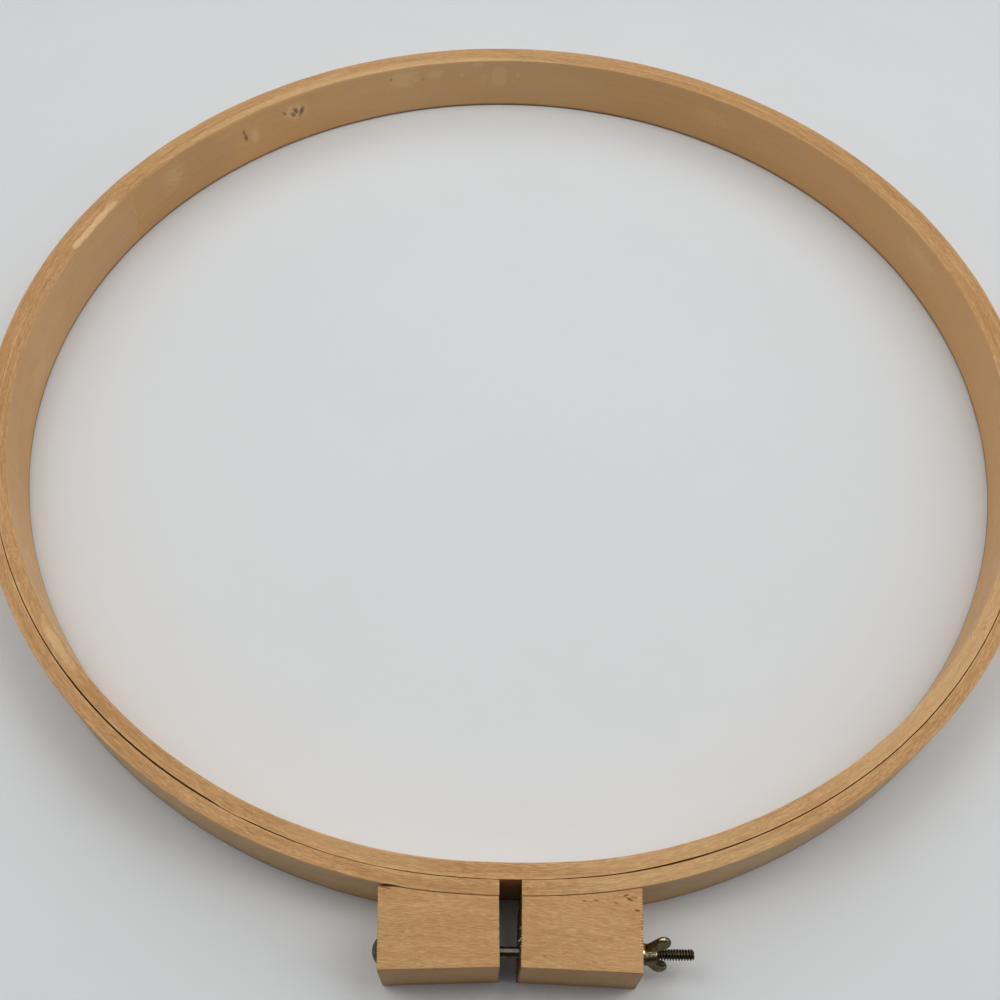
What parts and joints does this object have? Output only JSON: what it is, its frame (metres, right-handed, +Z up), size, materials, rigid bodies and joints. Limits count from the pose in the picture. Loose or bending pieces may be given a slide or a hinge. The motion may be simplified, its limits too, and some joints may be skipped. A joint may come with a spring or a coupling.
{
  "type": "embroidery hoop",
  "caption": "Large round wooden needlework hoop: a plain inner ring inside a split outer ring, which a bolt and wing nut draw together through its clamp blocks.",
  "frame": {"origin": "centre of the bounding box's underside, on the surface that the hoop lies on", "axes": "+Z up through the hoop, +Y away from the clamp, +X towards the wing nut"},
  "size_m": [0.6, 0.6296, 0.0381],
  "materials": {
    "ring_beech": "clear satin varnish on bent beech strip",
    "block_beech": "sawn and lightly sanded beech",
    "bronzed_steel": "dark antique plating over steel, worn at the thread",
    "bronzed_brass": "dark antique brass, worn bright on the boss"
  },
  "bodies": {
    "right_half": {"outer_ring_right": "ring_beech", "right_clamp_block": "block_beech"},
    "left_half": {"outer_ring_left": "ring_beech", "left_clamp_block": "block_beech"},
    "bolt": {"carriage_bolt": "bronzed_steel"},
    "nut": {"wing_nut": "bronzed_brass"},
    "inner": {"inner_ring": "ring_beech"}
  },
  "joints": [
    {"name": "outer_ring_opening", "type": "hinge", "parent": "right_half", "child": "left_half", "pos_m": [0, 0.3114, 0.01905], "axis": [0, 0, -1], "range_deg": [0, 0.95]},
    {"name": "wing_nut_turn", "type": "hinge", "parent": "right_half", "child": "nut", "pos_m": [0.0574, -0.3036, 0.01905], "axis": [1, 0, 0], "range_deg": [0, 2880]},
    {"name": "bolt_draw", "type": "slide", "parent": "right_half", "child": "bolt", "axis": [-1, 0, 0], "range_m": [0, 0.01016]},
    {"name": "inner_ring_lift", "type": "slide", "parent": "right_half", "child": "inner", "axis": [0, 0, 1], "range_m": [0, 0.06]}
  ],
  "couplings": [
    {"joint": "wing_nut_turn", "follows": "outer_ring_opening", "ratio": 3031.6},
    {"joint": "bolt_draw", "follows": "outer_ring_opening", "m_per_rad": 0.61276}
  ]
}
